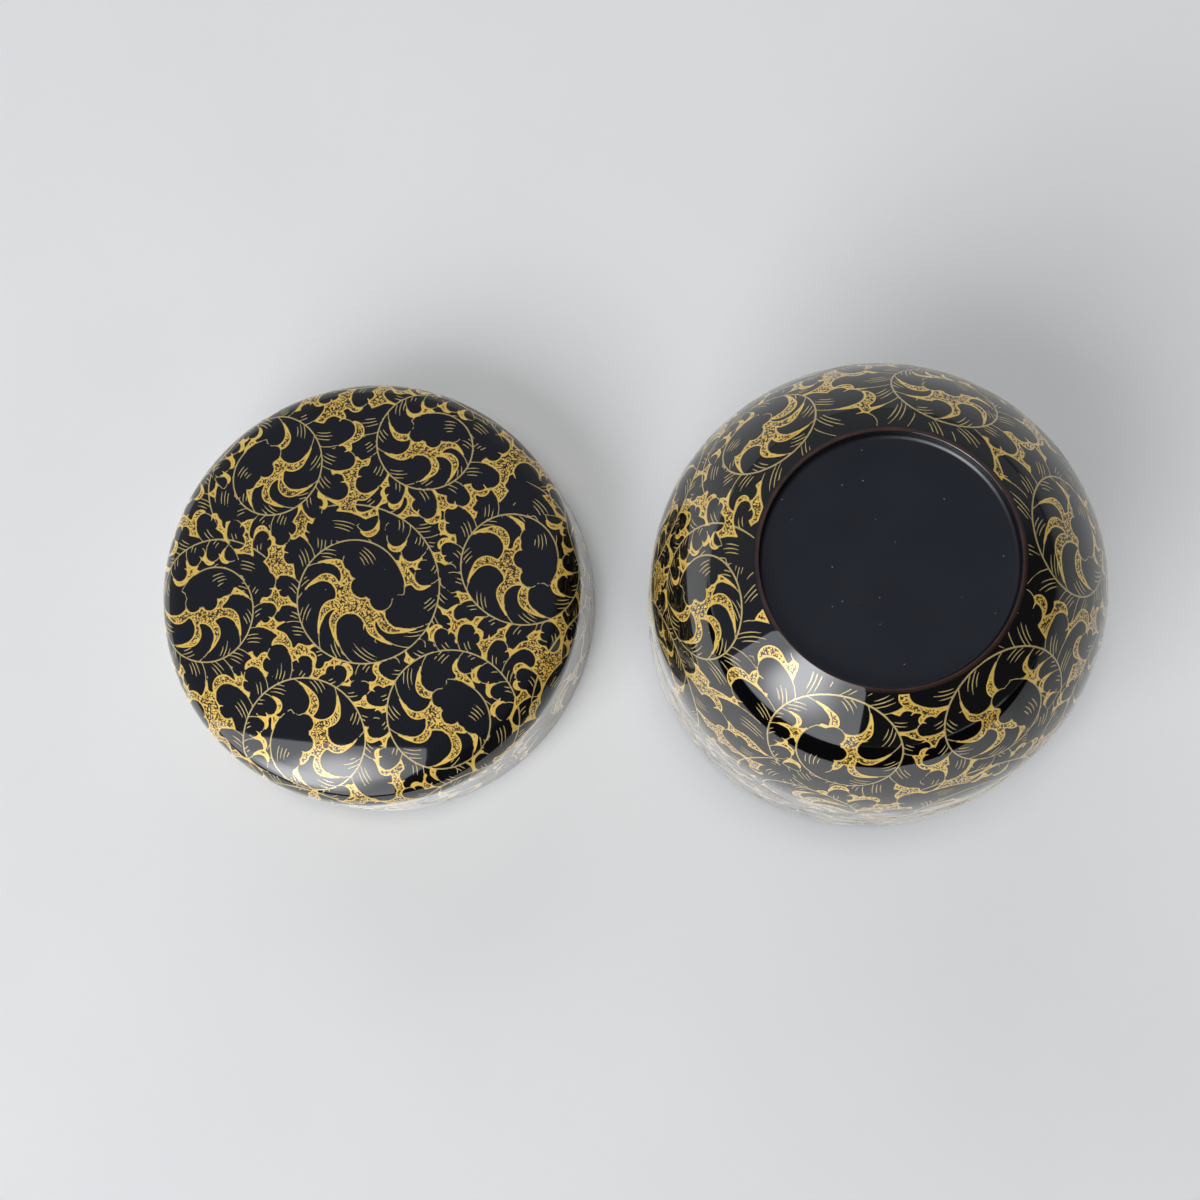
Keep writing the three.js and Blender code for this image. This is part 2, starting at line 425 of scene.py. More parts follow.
class Leaf:
    """A black leaf with a round lobe beside its tip, or several where it is a head."""

    def __init__(self, face, base, heading, bend, length, width, side, head):
        self.scale = face.scale_at(base)
        self.length, self.width = length * self.scale, width * self.scale
        self.heading, self.bend, self.side = heading, bend, side
        self.share, self.spine = bent_line(base, heading, bend, self.length)
        grown = np.sin(np.minimum(self.share / WIDEST_AT, 1) * math.pi / 2) ** WIDTH_SHAPE
        narrowed = 1 - TIP_TAPER * np.clip((self.share - 0.5) / 0.5, 0, 1) ** 2
        self.widths = self.width * (NECK + (1 - NECK) * grown) * narrowed
        self.tip = facing(heading + bend)
        self.ahead = side * facing(heading + bend + math.pi / 2)
        self.lobe = self.spine[5] + self.width * (LOBE_ALONG * self.tip - LOBE_BEHIND * self.ahead)
        self.lobes = [(self.lobe, LOBE * self.width)]
        self.vein_shift = VEIN_SHIFT * self.width
        if head:
            radius = HEAD_LOBE * self.width
            self.lobes = [(self.on_edge(share, turn), radius) for share, turn in HEAD_LOBES]
            self.vein_shift = HEAD_VEIN_SHIFT * self.width

    def on_spine(self, share):
        x, y = self.spine.T
        return np.column_stack([np.interp(share, self.share, x), np.interp(share, self.share, y)])

    def on_edge(self, share, turn):
        """A place near the edge: some way along the spine, turned away from its direction."""
        way = self.heading + self.bend * share - self.side * math.radians(turn)
        return self.on_spine([share])[0] + HEAD_LOBE_OUT * self.width * facing(way)


print("a leaf has", LINKS - 1, "links, and the head of a curl has", len(HEAD_LOBES), "lobes")

# %% [markdown]
# The gold edge is the same leaf again, pushed a little past the tip. What shows of it
# is a crescent that tapers to nothing. A hair line of gold runs on round the tip.

# %% Black of a leaf and its gold edge
HAIR_LINE = 0.05
PUSH_SHAPE = 1.8
PUSH_AHEAD = 0.66
PUSH_ALONG = 0.75
LOBE_PUSH = 0.8
LOBE_PUSH_ALONG = 0.8
LOBE_PUSH_BEHIND = 0.5
EDGE_WIDTH = 0.985
EDGE_LOBE = LOBE + 0.02


def with_rounds(distance, rounds, x, y):
    """A distance joined with the distances to some rounds."""
    for middle, radius in rounds:
        distance = np.minimum(distance, np.hypot(x - middle[0], y - middle[1]) - radius)
    return distance


def leaf_distances(leaf, x, y, push):
    wide = leaf.width
    push_way = (PUSH_AHEAD * leaf.ahead + PUSH_ALONG * leaf.tip) * push * wide
    pushed = np.outer(leaf.share ** PUSH_SHAPE, push_way)
    lobe_way = LOBE_PUSH_ALONG * leaf.tip - LOBE_PUSH_BEHIND * leaf.ahead
    beyond = leaf.lobe + lobe_way * LOBE_PUSH * push * wide
    black = chain_distance(x, y, leaf.spine, leaf.widths)
    black = with_rounds(black, leaf.lobes, x, y)
    edge = chain_distance(x, y, leaf.spine + pushed, leaf.widths * EDGE_WIDTH)
    edge = with_rounds(edge, [(beyond, EDGE_LOBE * wide)], x, y)
    round_tip = chain_distance(x, y, leaf.spine[6:], leaf.widths[6:])
    return black, np.minimum(edge, round_tip - HAIR_LINE * leaf.scale)


print("hair line", HAIR_LINE, "mm wide")

# %% [markdown]
# Three kinds of fine cuts finish a leaf. The first are a few tapered strokes that follow
# the spine, as veins do. Small chances in where they start and end keep them from looking
# ruled.

# %% Strokes of a leaf
STROKE = 0.078
STROKE_GAP = 0.58
STROKE_POINTS = 6
STROKE_FROM = 0.12
STROKE_TO = 0.72
STROKE_DRIFT = 0.06
START_STAGGER = 0.05
END_STAGGER = 0.08


def leaf_strokes(leaf, x, y, count, chance):
    drift = chance.uniform(-STROKE_DRIFT, STROKE_DRIFT, 8)
    cuts = np.full(x.shape, np.inf)
    for i in range(count):
        out = i - (count - 1) / 2
        start = STROKE_FROM + START_STAGGER * abs(out) + drift[i]
        share = np.linspace(start, STROKE_TO - END_STAGGER * abs(out) + drift[i + 4], STROKE_POINTS)
        turn = leaf.heading + leaf.bend * share
        aside = out * STROKE_GAP * leaf.scale * (0.75 + 0.5 * share) + leaf.vein_shift * leaf.side
        points = leaf.on_spine(share) + np.column_stack([-np.sin(turn) * aside, np.cos(turn) * aside])
        swell = np.sin(np.linspace(0.10, 0.93, STROKE_POINTS) * math.pi) ** 0.8
        cuts = np.minimum(cuts, chain_distance(x, y, points, STROKE * leaf.scale * swell))
    return cuts


print("strokes are", 2 * STROKE, "mm wide at most")

# %% [markdown]
# The second cut is a thin outline round the tip and the lobes, so that black leaves show
# on black. The third is one short thorn, which runs in from the notch between the tip and
# the lobe. The notch is where two circles cross, so it is worked out and not searched for.

# %% Outline and thorn of a leaf
OUTLINE = 0.068
THORN_TURN = 0.1
THORN_REACH = 0.34
THORN_BACK = 0.1
THORN_WIDTHS = (0.12, 0.03)
WIDEST_THORNED = 2.6


def leaf_outline(leaf, x, y, black, scale):
    """Distance to the outline of the leaf, along its tip and its lobes."""
    tip = chain_distance(x, y, leaf.spine[3:], leaf.widths[3:])
    return np.maximum(np.abs(black), with_rounds(tip, leaf.lobes, x, y) / scale)


def leaf_thorn(leaf, x, y):
    notch = notch_of(leaf)
    if notch is None or leaf.width > WIDEST_THORNED * leaf.scale:
        return np.full(x.shape, np.inf)
    inward = math.atan2(*(leaf.spine[4] - notch)[::-1])
    start = notch - facing(inward) * THORN_BACK * leaf.scale
    end = notch + facing(inward + leaf.side * THORN_TURN) * leaf.width * THORN_REACH
    return chain_distance(x, y, np.array([start, end]), [wide * leaf.scale for wide in THORN_WIDTHS])


def notch_of(leaf):
    """Where the rounds of the tip and the lobe cross, on the side of the tip."""
    tip_wide, lobe_wide = leaf.widths[-1], LOBE * leaf.width
    apart = leaf.lobe - leaf.spine[-1]
    span = np.hypot(*apart)
    along = (span * span + tip_wide * tip_wide - lobe_wide * lobe_wide) / (2 * span)
    if abs(along) >= tip_wide:
        return None
    middle = leaf.spine[-1] + apart / span * along
    aside = np.array([-apart[1], apart[0]]) / span * math.sqrt(tip_wide * tip_wide - along * along)
    return max(middle + aside, middle - aside, key=lambda spot: spot @ leaf.tip)


print("outlines are", 2 * OUTLINE, "mm wide, thorns", 2 * THORN_WIDTHS[0], "mm at the notch")

# %% [markdown]
# Painting goes from the back to the front. A new leaf lays its gold edge over all that is
# there, then its own black over that, and last its cuts. Strokes and thorns are kept in
# fields of their own, because the gold is smoothed later and they are too fine for that.

# %% Painting a leaf
STROKE_MARGIN = 0.2
THORN_OVERLAP = 0.1
LENGTHS_AROUND = 0.62
WIDTHS_AROUND = 2.4
WIDE_LEAF = 1.6


def stroke_count(width):
    return 3 if width > WIDE_LEAF else 2


def paint_leaf(face, base, heading, bend, length, width, side, chance, push,
               strokes=3, clip=None, head=False):
    leaf = Leaf(face, base, heading, bend, length, width, side, head)
    spots = face.near(leaf.spine[4], LENGTHS_AROUND * leaf.length + WIDTHS_AROUND * leaf.width)
    x, y, scale = face.x[spots], face.y[spots], face.scale[spots]
    black, edge = leaf_distances(leaf, x, y, push)
    if clip is not None:
        limit = clip(x, y)
        black, edge = np.maximum(black, limit), np.maximum(edge, limit)
    black, edge = black / scale, edge / scale
    face.gold[spots] = np.minimum(np.maximum(face.gold[spots], -edge), black)
    covered = np.minimum(black, edge)
    veins = leaf_strokes(leaf, x, y, strokes, chance) / scale
    outline = OUTLINE - leaf_outline(leaf, x, y, black, scale)
    fine_cuts = np.maximum(np.minimum(-veins, -black - STROKE_MARGIN), outline)
    face.strokes[spots] = np.maximum(np.minimum(face.strokes[spots], covered), fine_cuts)
    thorn = np.minimum(-leaf_thorn(leaf, x, y) / scale, THORN_OVERLAP - black)
    face.thorns[spots] = np.maximum(np.minimum(face.thorns[spots], covered), thorn)


print("strokes keep", STROKE_MARGIN, "mm from the leaf's edge")

# %% [markdown]
# The large curls carry the pattern. A curl's back is one line that runs once round, then
# turns further in and ends in a round head. Angles along it are in degrees from its start.

# %% Line of a curl
CURL_END = 465.0
BACK_REACH = 0.98
OPENS_BY = 0.34
TURNS_IN_FROM = 240
TURNS_IN_OVER = 230
TURNED_IN = 0.44
OPENING_FROM = -30
OPENING_FADE = 45
OPENED_BY = 60


class Curl:
    """A round back that turns in on itself, about a middle, from a start."""

    def __init__(self, face, middle, radius, turn, start):
        self.middle, self.turn, self.start = np.array(middle), turn, start
        self.scale = face.scale_at(middle)
        self.size, self.radius = radius, radius * self.scale

    def reach(self, angle):
        inward = np.clip((angle - TURNS_IN_FROM) / TURNS_IN_OVER, 0, 1)
        opening = OPENS_BY * np.exp(-np.maximum(angle, OPENING_FROM) / OPENING_FADE)
        return self.radius * (BACK_REACH + opening - TURNED_IN * inward * inward * (3 - 2 * inward))

    def at(self, angle):
        return self.middle + self.reach(angle) * facing(self.start + self.turn * math.radians(angle))

    def heading(self, angle):
        step = self.at(angle + 0.5) - self.at(angle - 0.5)
        return math.atan2(step[1], step[0])

    def around(self, x, y):
        """Angle along the first turn and distance from the middle."""
        across, up = x - self.middle[0], y - self.middle[1]
        return np.degrees(self.turn * (np.arctan2(up, across) - self.start)) % 360, np.hypot(across, up)

    def outside(self, x, y):
        """Distance past the curl, which opens slowly from the line of its last turn."""
        angle, away = self.around(x, y)
        opened = np.clip(angle / OPENED_BY, 0, 1)
        inner = self.reach(angle + 360)
        return away - inner - (self.reach(angle) - inner) * opened * opened * (3 - 2 * opened)

    def outside_last_turn(self, x, y, past):
        angle, away = self.around(x, y)
        return np.where(angle + 360 < CURL_END + past, away - self.reach(angle + 360), -FAR)


print("the back of a curl ends", CURL_END, "degrees from its start")

# %% [markdown]
# Inside a curl the leaves grow from the back towards the middle, each over the next, and
# a scalloped head closes it. What lies between them stays gold. Small leaves line the
# opening. No leaf may cross the back, so each is clipped to the turn that it grows in.

# %% Leaves inside a curl
LARGE_CURL = 10
LARGE_CURL_STEP = 37.0
SMALL_CURL_STEP = 45.0
OPENING_START = 30
OPENING_STEP = 24
INNER_START = 14
INNER_STOP = CURL_END - 55
HEAD_AT = CURL_END - 78
FIRST_TURN_PAST = 6
HEAD_PAST = 40
# Length and width of leaves, as shares of the curl's size
OPENING_LEAF = (0.30, 0.15)
LARGE_CURL_LEAF = (0.62, 0.225)
SMALL_CURL_LEAF = (0.62, 0.26)
HEAD_LEAF = (0.66, 0.345)
# How far leaves lean in from the back and bend on from there
INNER_LEAN = 20
INNER_BEND = math.radians(76)
HEAD_LEAN = math.radians(16)
HEAD_BEND = math.radians(75)
# How far each gold edge is pushed past its leaf
INNER_PUSH = 0.60
HEAD_PUSH = 0.16


def paint_inner_leaves(face, curl, chance):
    def in_first_turn(x, y):
        head = curl.outside_last_turn(x, y, FIRST_TURN_PAST)
        return np.maximum(curl.outside(x, y), np.where(head > -FAR, -head, -FAR))

    def in_head(x, y):
        return curl.outside_last_turn(x, y, HEAD_PAST)

    large = curl.size > LARGE_CURL
    spacing = LARGE_CURL_STEP if large else SMALL_CURL_STEP
    opening = CURL_END - 360
    opening_places = np.arange(OPENING_START, opening, OPENING_STEP)
    inner_places = np.arange(opening + INNER_START, INNER_STOP, spacing)
    for place in np.append(opening_places, inner_places)[::-1]:
        first = place < opening
        long, wide = OPENING_LEAF if first else LARGE_CURL_LEAF if large else SMALL_CURL_LEAF
        place = place + chance.uniform(-5, 5)
        reach = curl.size * (BACK_REACH if place < 250 else curl.reach(place) / curl.radius)
        length = long * reach * chance.uniform(0.84, 1.12)
        width = wide * reach * chance.uniform(0.90, 1.10)
        heading = curl.heading(place) + curl.turn * math.radians(INNER_LEAN + chance.uniform(-5, 5))
        paint_leaf(face, curl.at(place), heading, curl.turn * INNER_BEND, length, width,
                   -curl.turn, chance, INNER_PUSH, strokes=stroke_count(width),
                   clip=in_first_turn if first else curl.outside)
    heading = curl.heading(HEAD_AT) + curl.turn * HEAD_LEAN
    long, wide = HEAD_LEAF
    paint_leaf(face, curl.at(HEAD_AT), heading, curl.turn * HEAD_BEND, long * curl.size,
               wide * curl.size, -curl.turn, chance, HEAD_PUSH, strokes=4, clip=in_head, head=True)


print("the head of a curl grows from", HEAD_AT, "degrees along its back")

# %% [markdown]
# A whole curl is painted from the outside in. One leaf grows out of its mouth. Then it is
# filled with gold, and a black band follows the inside of its back and swells near the
# mouth. The inner leaves come over that, and the back gets its thin line last.

# %% Painting a curl
BACK_LINE = 0.11
BACK_POINTS = 110
NEAR_BACK = 1.02
CURL_AROUND = 1.5
HALF_BAND = 0.16
BAND_SWELL = 0.14
INNER_HALF_BAND = 0.14
MOUTH_AT = math.radians(2)
MOUTH_LEAF = (0.62, 0.22)
MOUTH_BEND = math.radians(62)
MOUTH_PUSH = 0.5


def paint_curl(face, curl, chance):
    mouth = curl.middle + NEAR_BACK * curl.radius * facing(curl.start + curl.turn * MOUTH_AT)
    long, wide = MOUTH_LEAF
    paint_leaf(face, mouth, curl.heading(10), curl.turn * MOUTH_BEND, long * curl.size,
               wide * curl.size, -curl.turn, chance, MOUTH_PUSH)
    spots = face.near(curl.middle, CURL_AROUND * curl.radius)
    x, y, scale = face.x[spots], face.y[spots], face.scale[spots]
    past = curl.outside(x, y)
    inside = past / scale
    angle, away = curl.around(x, y)
    near_mouth = np.clip(np.minimum(angle / 35, (110 - angle) / 60), 0, 1)
    half_band = curl.radius * (HALF_BAND + BAND_SWELL * near_mouth)
    band = np.abs(past + half_band) - half_band
    half_inner = INNER_HALF_BAND * curl.radius
    inner_band = np.abs(away - curl.reach(angle + 360) + half_inner) - half_inner
    band = np.where(angle + 360 < CURL_END, np.minimum(band, inner_band), band)
    face.gold[spots] = np.minimum(np.maximum(face.gold[spots], -inside), band / scale)
    face.strokes[spots] = np.minimum(face.strokes[spots], inside)
    face.thorns[spots] = np.minimum(face.thorns[spots], inside)
    paint_inner_leaves(face, curl, chance)
    line = np.linspace(-8, CURL_END, BACK_POINTS)
    fade = np.clip(np.minimum((line + 9) / 26, (CURL_END + 3 - line) / 10), 0.05, 1)
    points = np.array([curl.at(a) for a in line])
    back = chain_distance(x, y, points, BACK_LINE * curl.scale * fade) / scale
    face.strokes[spots] = np.maximum(face.strokes[spots], -back)


print("the back's line is", 2 * BACK_LINE, "mm wide")

# %% [markdown]
# Outside, leaves fan away from each back until they meet the neighbouring curl: each is
# tried long and shortened until its tip has room.

# %% Leaves between the curls
LEAVES_APART = 4.0
LEAVES_OVER = 350
LEAF_LENGTHS = np.arange(9.5, 2.3, -0.3)
LEAF_WIDTHS = (1.3, 2.3)
LEAF_PLUMPNESS = 0.40
OUTER_LEAN = math.radians(24)
OUTER_BEND = math.radians(58)
OUTER_PUSH = 0.74


def paint_outer_leaves(face, curls, curl, share_left, chance):
    count = round(math.tau * curl.size * NEAR_BACK / LEAVES_APART)
    others = [other for other in curls if other is not curl]
    for j in reversed(range(count)):
        place = (j + 0.5) * LEAVES_OVER / count + chance.uniform(-3, 3)
        base = curl.at(place)
        heading = curl.heading(place) - curl.turn * OUTER_LEAN
        bend = -curl.turn * OUTER_BEND
        for length in LEAF_LENGTHS:
            width = np.clip(LEAF_PLUMPNESS * length, *LEAF_WIDTHS)
            tip = bent_line(base, heading, bend, length * curl.scale)[1][-1]
            own = np.hypot(*(tip - curl.middle)) - curl.reach(place)
            room = min(np.hypot(*(tip - other.middle)) - NEAR_BACK * other.radius for other in others)
            if room > share_left * own + 0.5 * width * curl.scale:
                break
        paint_leaf(face, base, heading, bend, length, width * chance.uniform(0.95, 1.05), curl.turn,
                   chance, OUTER_PUSH, strokes=stroke_count(width))


print("each leaf is tried at", len(LEAF_LENGTHS), "lengths from", LEAF_LENGTHS[0], "mm down")

# %% [markdown]
# The curls stand in loose rings, turning left and right by turns: one in the middle of the
# lid with six and then nine around it, and three rings on the body. Small chances in place,
# size and start keep the rings from looking stamped. The same seed gives the same caddy.
# A cutter's gouge leaves no slivers, so the gold is smoothed a little when all is drawn.
# Sizes are in millimetres, and down is measured along the face from its top.

# %% Drawing both faces
SEED = 7
SMOOTHINGS = 3
SMOOTHED_DEPTHS = (-0.6, 0.9)
CUT_BACK = 0.02
RIM_MARGIN = 0.9


def ring_of_curls(face, chance, count, down, radius, offset, wander, vary):
    curls = []
    for i in range(count):
        turn = math.tau * (i + offset) / count + chance.uniform(-0.06, 0.06)
        middle = face.spot(down + chance.uniform(-wander, wander), turn)
        size = radius + chance.uniform(-vary, vary)
        curls.append(Curl(face, middle, size, 1 if i % 2 else -1, turn + chance.uniform(0, math.tau)))
    return curls


def smoothed(face, field):
    table = np.clip(field, *SMOOTHED_DEPTHS).reshape(face.shape)
    for _ in range(SMOOTHINGS):
        for axis in (0, 1):
            table = (np.roll(table, 1, axis) + 2 * table + np.roll(table, -1, axis)) / 4
    return table.ravel()


def draw(face, curls, from_edge, share_left, chance):
    margin = np.minimum(face.down - from_edge, face.along[-1] - RIM_MARGIN - face.down)
    for curl in curls:
        paint_outer_leaves(face, curls, curl, share_left, chance)
    for curl in curls:
        paint_curl(face, curl, chance)
    face.gold = np.minimum(np.maximum(smoothed(face, face.gold) - CUT_BACK, face.thorns), margin)
    face.strokes = np.minimum(np.minimum(face.strokes, margin), -face.gold)
    share = float(np.mean(face.gold[margin > 0] > 0))
    print(len(curls), "curls,", round(share, 3), "of the face is gold")


lid_chance = np.random.default_rng(SEED)
lid_curls = [Curl(lid_face, middle=(0.9, -0.8), radius=11.2, turn=-1, start=2.2)]
for ring in (
        {"count": 6, "down": 24.0, "radius": 9.1, "offset": 0.15, "wander": 0.8, "vary": 0.8},
        {"count": 9, "down": 42.5, "radius": 8.4, "offset": 0.5, "wander": 0.8, "vary": 0.7}):
    lid_curls += ring_of_curls(lid_face, lid_chance, **ring)
draw(lid_face, lid_curls, from_edge=-1, share_left=0.95, chance=lid_chance)

body_chance = np.random.default_rng(SEED)
body_curls = []
for ring in (
        {"count": 6, "down": 10.4, "radius": 8.6, "offset": 0.2, "wander": 1.0, "vary": 0.7},
        {"count": 8, "down": 28.5, "radius": 9.1, "offset": 0.55, "wander": 1.0, "vary": 0.7},
        {"count": 9, "down": 46.0, "radius": 8.4, "offset": 0.05, "wander": 0.8, "vary": 0.7}):
    body_curls += ring_of_curls(body_face, body_chance, **ring)
draw(body_face, body_curls, from_edge=0.5, share_left=0.85, chance=body_chance)

# %% [markdown]
# Cutting out follows the line where a distance passes through zero. Each grid square is
# two triangles, and the line enters and leaves a triangle once, so every outline closes.

# %% Cutting out the gold
def outlines(face, field):
    numbers = np.arange(field.size).reshape(face.shape)
    if face.wraps:
        numbers = np.concatenate([numbers, numbers[:, :1]], axis=1)
    a, b, c, d = (part.ravel() for part in (
        numbers[:-1, :-1], numbers[:-1, 1:], numbers[1:, :-1], numbers[1:, 1:]))
    triangles = np.concatenate([np.column_stack([a, b, c]), np.column_stack([d, c, b])])
    within = field[triangles] > 0
    crossed = within.any(axis=1) & ~within.all(axis=1)
    triangles, within = triangles[crossed], within[crossed]
    lone = within.sum(axis=1) == 1
    odd = np.where(lone, within.argmax(axis=1), (~within).argmax(axis=1))
    rows = np.arange(len(triangles))
    corner, after, before = (triangles[rows, (odd + k) % 3] for k in range(3))

    def edge(p, q):
        return np.minimum(p, q) * field.size + np.maximum(p, q)

    enter = np.where(lone, edge(corner, after), edge(corner, before))
    leave = np.where(lone, edge(corner, before), edge(corner, after))
    edges, places = np.unique(np.concatenate([enter, leave]), return_inverse=True)
    following = np.empty(len(edges), int)
    following[places[:len(enter)]] = places[len(enter):]
    p, q = edges // field.size, edges % field.size
    share = field[p] / (field[p] - field[q])
    x = face.x[p] + (face.x[q] - face.x[p]) * share
    y = face.y[p] + (face.y[q] - face.y[p]) * share
    return np.column_stack([x, y]), following, np.where(field[p] > 0, p, q)


print(len(outlines(lid_face, lid_face.gold)[0]), "points lie on the outlines of the lid's gold")

# %% [markdown]
# An outline that crosses every grid square has far more points than its shape needs.
# Points that lie almost on the line between their neighbours are dropped. Neighbours draw
# lots, so that two in a row are never dropped at once.

# %% Thinning the outlines
THINNINGS = 8
LOTS_SEED = 3


def thin_out(face, points, following, tolerance, longest):
    chance = np.random.default_rng(LOTS_SEED)
    for _ in range(THINNINGS):
        own = np.arange(len(following))
        previous = np.empty_like(following)
        previous[following] = own
        chord = points[following] - points[previous]
        offset = points - points[previous]
        length = np.hypot(*chord.T)
        off_line = np.abs(chord[:, 0] * offset[:, 1] - chord[:, 1] * offset[:, 0]) / (length + 1e-12)
        scale = np.interp(np.hypot(*points.T), face.flat, face.stretch)
        third = following[following[following]]
        spare = (off_line < tolerance * scale) & (length < longest * scale)
        spare &= (third != own) & (following[third] != own)
        draw_lots = chance.random(len(own)) * spare
        drop = spare & (draw_lots > draw_lots[previous]) & (draw_lots > draw_lots[following])
        following[previous[drop]] = following[drop]
        new_number = np.cumsum(~drop) - 1
        points, following = points[~drop], new_number[following[~drop]]
    return points, following


print("outlines are thinned", THINNINGS, "times")

# %% [markdown]
# Leaves that meet by chance leave specks of gold that no cutter would. Each outline is
# followed once round, and a patch that is too small is turned back to black.

# %% Dropping specks
SMALLEST_PATCH = 1.3
SMALLEST_CUT = 0.04
BLACK_AGAIN = -0.05


def loops_of(following):
    seen = np.zeros(len(following), bool)
    for first in range(len(following)):
        loop = []
        here = first
        while not seen[here]:
            seen[here] = True
            loop.append(here)
            here = following[here]
        if loop:
            yield loop


def within_loop(corners, x, y):
    inside = np.zeros(len(x), bool)
    for (x0, y0), (x1, y1) in zip(corners, np.roll(corners, -1, axis=0)):
        crosses = (y0 > y) != (y1 > y)
        inside ^= crosses & (x < x0 + (x1 - x0) * (y - y0) / (y1 - y0 if y1 != y0 else 1))
    return inside


def drop_specks(face, field, smallest):
    points, following, just_inside = outlines(face, field)
    numbers = np.arange(field.size).reshape(face.shape)
    way_round = -1 if face.wraps else 1
    dropped = 0
    for loop in loops_of(following):
        corners = points[loop]
        x, y = corners.T
        area = way_round * 0.5 * np.sum(x * np.roll(y, -1) - np.roll(x, -1) * y)
        middle = corners.mean(axis=0)
        if 0 < area < smallest * face.scale_at(middle) ** 2:
            rows, columns = np.divmod(just_inside[loop], face.shape[1])
            spots = numbers[rows.min():rows.max() + 1, columns.min():columns.max() + 1].ravel()
            patch = spots[within_loop(corners, face.x[spots], face.y[spots])]
            field[patch] = BLACK_AGAIN
            dropped += 1
    print(dropped, "specks dropped")


for face in (lid_face, body_face):
    drop_specks(face, face.gold, SMALLEST_PATCH)
    drop_specks(face, face.strokes, SMALLEST_CUT)

# %% [markdown]
# The outlines are filled with triangles that keep every outline edge. Inner points make
# the top follow the curve, and carry how deep in the gold they lie. Top, bottom and the
# walls between them close each patch of gold into a thin solid of its own.

# %% Filling the outlines
SOLID_EDGE = 0.2
INNER_SPACING = 3


def fill(face, field, points, following):
    sparse = np.zeros(face.shape, bool)
    sparse[::INNER_SPACING, ::INNER_SPACING] = True
    inner = np.flatnonzero(sparse.ravel() & (field > SOLID_EDGE))
    spots = [Vector(p) for p in points] + [Vector((face.x[i], face.y[i])) for i in inner]
    edges = [(i, int(j)) for i, j in enumerate(following)]
    corners, _, triangles, *_ = delaunay_2d_cdt(spots, edges, [], 0, 1e-9)
    corners, triangles = np.array(corners), np.array(triangles)
    middles = corners[triangles].mean(axis=1)
    kept = triangles[face.read(field, *middles.T) > 0]
    used, kept = np.unique(kept, return_inverse=True)
    return corners[used], kept.reshape(-1, 3)


print("inner points stand", INNER_SPACING, "grid steps apart,", SOLID_EDGE, "mm or more from an edge")

# %% [markdown]
# The gold stands a hair proud of the lacquer, so it is seen and never flickers with it.
# The flat drawing also serves as the UV map of each piece: the tops lie on it as drawn, the
# bottoms once more, small, in a free corner.

# %% Laying the gold
PROUD = 0.012
SUNK = 0.05
LONGEST_EDGE = 0.6
MAP_WIDTH = 2.02
SMALL_COPY = 0.16
SMALL_MIDDLE = 0.082
WALL_INWARD = 0.3
GOLD_SHARP = math.radians(40)


def map_places(face, flat):
    across = MAP_WIDTH * face.flat[-1]
    return flat / across + 0.5, flat / across * SMALL_COPY + SMALL_MIDDLE


def lay_gold(name, face, field, axis_x, tolerance):
    points, following = thin_out(face, *outlines(face, field)[:2], tolerance, LONGEST_EDGE)
    flat, tops = fill(face, field, points, following)
    count = len(flat)
    edges = np.concatenate([tops[:, [0, 1]], tops[:, [1, 2]], tops[:, [2, 0]]])
    outer = ~np.isin(edges @ np.array([count, 1]), edges @ np.array([1, count]))
    rim = edges[outer]
    walls = np.column_stack([rim[:, ::-1], rim + count])
    mesh = bpy.data.meshes.new(name)
    places = np.concatenate([face.lift(flat, axis_x, PROUD), face.lift(flat, axis_x, -SUNK)])
    bottoms = tops[:, ::-1] + count
    mesh.from_pydata(places, [], tops.tolist() + bottoms.tolist() + walls.tolist())
    depth = np.maximum(face.read(field, *flat.T), 0)
    mesh.attributes.new("depth", "FLOAT", "POINT").data.foreach_set("value", np.tile(depth, 2))

    large, small = map_places(face, flat)
    inward = large[tops].mean(axis=1)[np.tile(np.arange(len(tops)), 3)[outer]][:, None]
    wall_tops = large[rim[:, ::-1]]
    wall_feet = large[rim] + WALL_INWARD * (inward - large[rim])
    map_spots = [large[tops], small[tops[:, ::-1]], np.concatenate([wall_tops, wall_feet], axis=1)]
    uv = np.concatenate([part.reshape(-1, 2) for part in map_spots])
    mesh.uv_layers.new(name="OFBake").data.foreach_set("uv", uv.ravel())

    piece = bpy.data.objects.new(name, mesh)
    bpy.context.collection.objects.link(piece)
    bpy.ops.object.select_all(action="DESELECT")
    piece.select_set(True)
    bpy.context.view_layer.objects.active = piece
    bpy.ops.object.shade_smooth_by_angle(angle=GOLD_SHARP)
    print(name, len(points), "outline points", 2 * len(tops) + 2 * len(walls), "triangles")
    return piece


lid_ground = lay_gold("lid_gold_ground", lid_face, lid_face.gold, LID_AXIS, tolerance=0.012)
lid_lines = lay_gold("lid_gold_lines", lid_face, lid_face.strokes, LID_AXIS, tolerance=0.016)
body_ground = lay_gold("body_gold_ground", body_face, body_face.gold, BODY_AXIS, tolerance=0.014)
body_lines = lay_gold("body_gold_lines", body_face, body_face.strokes, BODY_AXIS, tolerance=0.024)

# %% [markdown]
# Colours are written as sRGB hex values and turned into Blender's linear light by one
# function, and one more adds a node with its settings and links. A pattern's scale is
# worked out from a size in millimetres, because Object coordinates are in metres.

# %% Helpers for materials
# A node that mixes colours keeps its share, its two colours and its result in these sockets
SHARE = 0
LOW = 6
HIGH = 7
MIXED = 2


def linear(hex_colour):
    parts = [int(hex_colour[i:i + 2], 16) / 255 for i in (1, 3, 5)]
    return tuple(c / 12.92 if c <= 0.04045 else ((c + 0.055) / 1.055) ** 2.4 for c in parts) + (1.0,)


def per_size(millimetres):
    return 1 / (millimetres * MM)


